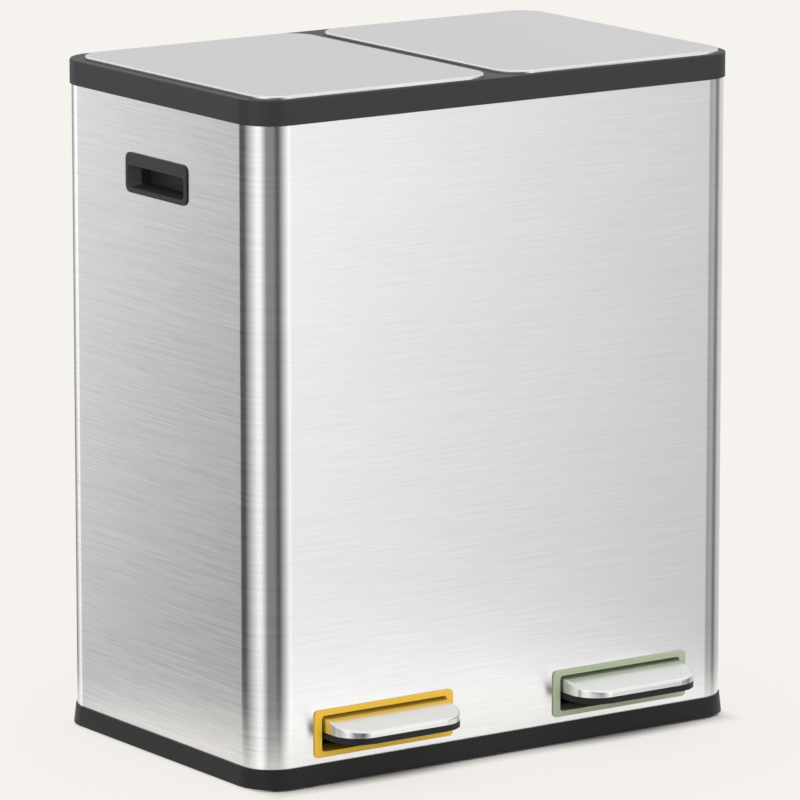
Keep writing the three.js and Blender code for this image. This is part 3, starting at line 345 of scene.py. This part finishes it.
def moulded(name, colour, roughness, grain=0.25, specular=0.5):
    """Moulded plastic with a fine etched grain."""

    def build(nodes, shader):
        etched = nodes.noise(1500.0, detail=3.0, roughness=0.6)
        cloud = nodes.noise(11.0, detail=3.0, seed=2.0)
        shade, gloss, bump = (cloud, 0.16), (etched, 0.12), (etched, grain)
        nodes.vary(shader, colour, roughness, shade, gloss, bump)
        nodes.set(shader, "Specular IOR Level", specular)

    return material(name, build)


LOOKS = {
    "wall_steel": brushed_steel("wall_steel", (0.92, 0.92, 0.92)),
    "lid_steel": brushed_steel("lid_steel", (0.85, 0.85, 0.85), lines_along="x", contrast=0.6),
    "pedal_steel": satin_metal("pedal_steel", (0.88, 0.88, 0.87), 0.22),
    "zinc_steel": satin_metal("zinc_steel", (0.62, 0.63, 0.64), 0.38),
    "rim_plastic": moulded("rim_plastic", (0.034, 0.034, 0.035), 0.50, specular=0.4),
    "black_plastic": moulded("black_plastic", (0.010, 0.010, 0.011), 0.48, specular=0.3),
    "grey_plastic": moulded("grey_plastic", (0.030, 0.030, 0.031), 0.50, specular=0.4),
    "bucket_plastic": moulded("bucket_plastic", (0.16, 0.165, 0.17), 0.48),
    "yellow_plastic": moulded("yellow_plastic", (0.96, 0.60, 0.04), 0.36, grain=0.08),
    "green_plastic": moulded("green_plastic", (0.47, 0.55, 0.38), 0.38, grain=0.08),
    "rubber": moulded("rubber", (0.02, 0.02, 0.02), 0.80, grain=0.5, specular=0.3),
}
OWN_LOOKS = {"top_frame": "rim_plastic"}  # a node whose finish departs a little from its slot's


# ---------------------------------------------------------------- steel pieces with true curves
def outer_shell():
    low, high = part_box("outer_shell")
    around = outline(low.x, high.x, low.y, high.y, SHELL_CORNER)
    inner = (low.x + SHEET, high.x - SHEET, low.y + SHEET, high.y - SHEET)
    inside = outline(*inner, SHELL_CORNER - SHEET)
    shell = loft("shell", [ring(around, low.z), ring(around, high.z)])
    cutters = [loft("cutter", [ring(inside, low.z - CLEAR), ring(inside, high.z + CLEAR)])]
    aside, up = BEZEL_TO_WINDOW
    inset = GRIP_TO_WINDOW
    for hand in SIDES:
        start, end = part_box(f"pedal_bezel_{hand}")
        xs = (start.x + aside, end.x - aside)
        cutters.append(block(xs, (low.y - CLEAR, low.y + REACH), (start.z + up, end.z - up)))
        start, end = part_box(f"handle_cup_{hand}")
        wall = low.x if hand == "left" else high.x
        ys = (start.y + inset, end.y - inset)
        cutters.append(block((wall - REACH, wall + REACH), ys, (start.z + inset, end.z - inset)))
    cut(shell, *cutters)
    smooth(shell)
    place(shell, "root", "brushed_steel", LOOKS["wall_steel"], "outer_shell")


def fold(radius):
    """How far in and how far down each ring of a folded edge lies, from the side to the top."""
    for i in range(FOLD_STEPS + 1):
        turn = math.radians(90 * i / FOLD_STEPS)
        yield radius * (1 - math.cos(turn)), radius * (1 - math.sin(turn))


def lid_plate(hand):
    node = f"lid_plate_{hand}"
    low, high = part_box(node)

    def edge(inset, height):
        box = (low.x + inset, high.x - inset, low.y + inset, high.y - inset)
        return ring(outline(*box, LID_CORNER - inset), height)

    rings = [edge(SHEET, high.z - SHEET), edge(SHEET, low.z), edge(0, low.z)]
    rings += [edge(inset, high.z - drop) for inset, drop in fold(LID_FOLD)]
    plate = loft(f"lid_top_{hand}", rings)
    smooth(plate)
    place(plate, f"lid_{hand}", "brushed_steel", LOOKS["lid_steel"], node)


def pedal_cover(hand):
    node = f"pedal_cover_{hand}"
    low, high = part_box(node)
    slope = PEDAL_FALL / (high.y - low.y)

    def edge(inset, height, tail=0.0):
        """The pedal's outline, drawn in at its tip and sides, with the rear moved by the tail."""
        box = (low.x + inset, high.x - inset, low.y + inset, high.y + tail)
        return ring(outline(*box, PEDAL_CORNER - inset, PEDAL_REAR_CORNER), height)

    def level(drop):
        """Height of the sloping top, less the drop."""
        return lambda y: high.z - (high.y - y) * slope - drop

    rings = [edge(0, low.z)]
    rings += [edge(inset, level(drop)) for inset, drop in fold(PEDAL_FOLD)]
    cover = loft(f"pedal_top_{hand}", rings)
    hollow = [
        edge(SHEET, low.z - CLEAR, REACH),
        edge(SHEET, level(PEDAL_FOLD), REACH),
        edge(PEDAL_FOLD, level(SHEET), REACH),
    ]
    cut(cover, loft("cutter", hollow))
    smooth(cover)
    place(cover, f"pedal_{hand}", "brushed_steel", LOOKS["pedal_steel"], node)


# ---------------------------------------------------------------- nodes that keep their CAD shape
def dress(piece, look):
    """Gives a CAD node its material, and rounds its edges with modifiers alone."""
    piece.data.materials.clear()
    piece.data.materials.append(look)
    piece.data.shade_smooth()
    weld = piece.modifiers.new("weld", "WELD")
    weld.merge_threshold = WELD_DISTANCE
    planar = piece.modifiers.new("planar", "DECIMATE")
    planar.decimate_type = "DISSOLVE"
    planar.angle_limit = FLAT_ANGLE
    edges = piece.modifiers.new("edges", "BEVEL")
    edges.width = EDGE_ROUNDING
    edges.segments = 2
    edges.limit_method = "ANGLE"
    edges.angle_limit = SHARP_ANGLE
    edges.use_clamp_overlap = True
    weigh_normals(piece)


def dress_all():
    """Dresses the nodes that no piece of this file replaces."""
    for subpart in frame["record"]["subparts"]:
        node = subpart["node"]
        piece = frame["nodes"][node]
        if not piece.hide_render:
            dress(piece, LOOKS[OWN_LOOKS.get(node, subpart["material_slot"])])


# ---------------------------------------------------------------- stage, light and camera
BACKGROUND = (0.9216, 0.8963, 0.8550)

FLOOR_RADIUS = 0.48
FLOOR_STEPS = 96
FLOOR_FADE = (0.7, 0.98)  # shares of the radius between which the floor fades out
FLOOR_GLOW = 0.85  # share of the floor that shows the background as it is, without shadow
UNDER_BIN = 20 * MM  # inside the box round bin and pedals the glow ends over this length

# The studio round the bin that polished metal shows: pale screens and dark flags, each from one
# compass angle to another (degrees from +X towards +Y) with its brightness, and soft edges between.
STUDIO = {
    "strip_light": (-165, -156, 1.35),
    "front_flag": (-136, -114, 0.22),
    "black_flag": (-104, -98, 0.0),
    "key_screen": (-64, -57, 1.42),
    "right_flag": (-50, -42, 0.42),
    "right_screen": (-34, -28, 0.52),
    "right_black": (-16, -13, 0.14),
    "rear_screen": (5, 35, 0.72),
    "rear_flag": (56, 85, 0.3),
    "left_screen": (111, 121, 1.34),
    "left_flag": (125, 148, 0.04),
}
# Its parts from the ground up, each between two heights of the line of sight, from -1 to 1.
GROUND = (-0.32, -0.14)  # the screens go from LOW_LEVEL to HIGH_LEVEL times their brightness
LOW_LEVEL = 0.34
HIGH_LEVEL = 1.06
SKY = (0.05, 0.38)  # they give way to an even sky
SKY_LEVEL = 0.92
LAMP = (0.55, 0.85)  # the sky gives way to the soft box overhead
LAMP_LEVEL = 1.0
EVEN_LIGHT = 0.95  # what diffuse rays see all round, the light on matt surfaces

# The camera that was fitted to the photograph.
CAMERA_PLACE = (-3.63699, -5.23468, 1.60857)
CAMERA_AIM = (0.00057, 0.0196, 0.31165)
CAMERA_LENS = 307.476  # mm, as is the sensor
CAMERA_SENSOR = 36
CAMERA_FAR = 50


def studio_stops():
    """The studio as stops of a colour ramp, once round from -180 degrees: place and level."""
    edges = [(degrees, level) for start, end, level in STUDIO.values() for degrees in (start, end)]
    (first, first_level), (last, last_level) = edges[0], edges[-1]
    gap = first + 360 - last
    seam = last_level + (first_level - last_level) * (180 - last) / gap  # where the ends meet
    stops = [(-180, seam), *edges, (180, seam)]
    return [((degrees + 180) / 360, level) for degrees, level in stops]


def studio_world():
    """Camera and transmission rays see the plain background, glossy rays see the studio, and all
    others an even white."""
    world = bpy.data.worlds.new("studio")
    bpy.context.scene.world = world
    world.use_nodes = True
    nodes = Nodes(world.node_tree)
    x, y, z = nodes.split(nodes.add("ShaderNodeTexCoord").outputs["Generated"])
    turn = nodes.math("DIVIDE", nodes.math("ARCTAN2", y, x), 2 * math.pi)
    ramp = nodes.add("ShaderNodeValToRGB", Fac=nodes.math("ADD", turn, 0.5))
    ramp.color_ramp.interpolation = "LINEAR"
    elements = ramp.color_ramp.elements
    elements.remove(elements[1])
    for i, (where, level) in enumerate(studio_stops()):
        stop = elements[0] if i == 0 else elements.new(where)
        stop.position = where
        stop.color = (level, level, level, 1)
    screens = nodes.scaled(ramp.outputs[0], nodes.run(z, *GROUND, LOW_LEVEL, HIGH_LEVEL))
    mixed = nodes.add("ShaderNodeMix", {"data_type": "RGBA"}, Factor=nodes.run(z, *SKY))
    nodes.set(mixed, "6", screens)  # inputs 6 and 7 and output 2 are the node's colours
    nodes.set(mixed, "7", nodes.run(z, *LAMP, SKY_LEVEL, LAMP_LEVEL))

    def light(colour, strength=1.0):
        return nodes.add("ShaderNodeBackground", Color=colour, Strength=strength).outputs[0]

    glossy = nodes.rays("Is Glossy Ray")
    lit = nodes.mix(glossy, light((1, 1, 1, 1), EVEN_LIGHT), light(mixed.outputs[2]))
    clear = nodes.rays("Is Camera Ray", "Is Transmission Ray")
    seen = nodes.mix(clear, lit, light((*BACKGROUND, 1)))
    nodes.add("ShaderNodeOutputWorld", Surface=seen)


def floor():
    """A pale round floor that fades into the background at its edge."""
    turns = [2 * math.pi * i / FLOOR_STEPS for i in range(FLOOR_STEPS)]
    points = [(FLOOR_RADIUS * math.cos(turn), FLOOR_RADIUS * math.sin(turn), 0.0) for turn in turns]
    disc = mesh_object("floor", points, [tuple(range(FLOOR_STEPS))])
    paint = bpy.data.materials.new("floor_paint")
    paint.use_nodes = True
    nodes = Nodes(paint.node_tree)
    matt = nodes.add("ShaderNodeBsdfDiffuse", Color=(*BACKGROUND, 1)).outputs[0]
    glow = nodes.add("ShaderNodeEmission", Color=(*BACKGROUND, 1), Strength=1.0).outputs[0]
    clear = nodes.add("ShaderNodeBsdfTransparent").outputs[0]
    place_of = nodes.add("ShaderNodeTexCoord").outputs["Object"]

    # The glow is left out under the bin, where its openings would show it.
    low, high = CAD_BOX
    x, y, _ = nodes.split(place_of)
    aside = nodes.math("SUBTRACT", nodes.math("ABSOLUTE", x), high[0] - UNDER_BIN)
    behind = nodes.math("SUBTRACT", nodes.math("ABSOLUTE", y), -low[1] - 2 * UNDER_BIN)
    outside = nodes.run(nodes.math("MAXIMUM", aside, behind), 0.0, UNDER_BIN)
    direct = nodes.rays("Is Camera Ray", "Is Glossy Ray", "Is Transmission Ray")
    glowing = nodes.math("MULTIPLY", nodes.math("MULTIPLY", direct, outside), FLOOR_GLOW)

    distance = nodes.add("ShaderNodeVectorMath", {"operation": "LENGTH"})
    nodes.set(distance, "0", place_of)
    start, end = (share * FLOOR_RADIUS for share in FLOOR_FADE)
    fade = nodes.run(distance.outputs[1], start, end, curve="SMOOTHSTEP")
    faded = nodes.mix(fade, nodes.mix(glowing, matt, glow), clear)
    nodes.add("ShaderNodeOutputMaterial", Surface=faded)
    disc.data.materials.append(paint)


def camera():
    data = bpy.data.cameras.new("camera")
    data.lens = CAMERA_LENS
    data.sensor_width = CAMERA_SENSOR
    data.clip_end = CAMERA_FAR
    eye = bpy.data.objects.new("camera", data)
    bpy.context.scene.collection.objects.link(eye)
    eye.location = CAMERA_PLACE
    eye.rotation_euler = (Vector(CAMERA_AIM) - eye.location).to_track_quat("-Z", "Y").to_euler()
    bpy.context.scene.camera = eye


bpy.context.scene.view_settings.view_transform = "Standard"
camera()
studio_world()
floor()
outer_shell()
for hand in SIDES:
    lid_plate(hand)
    pedal_cover(hand)
dress_all()
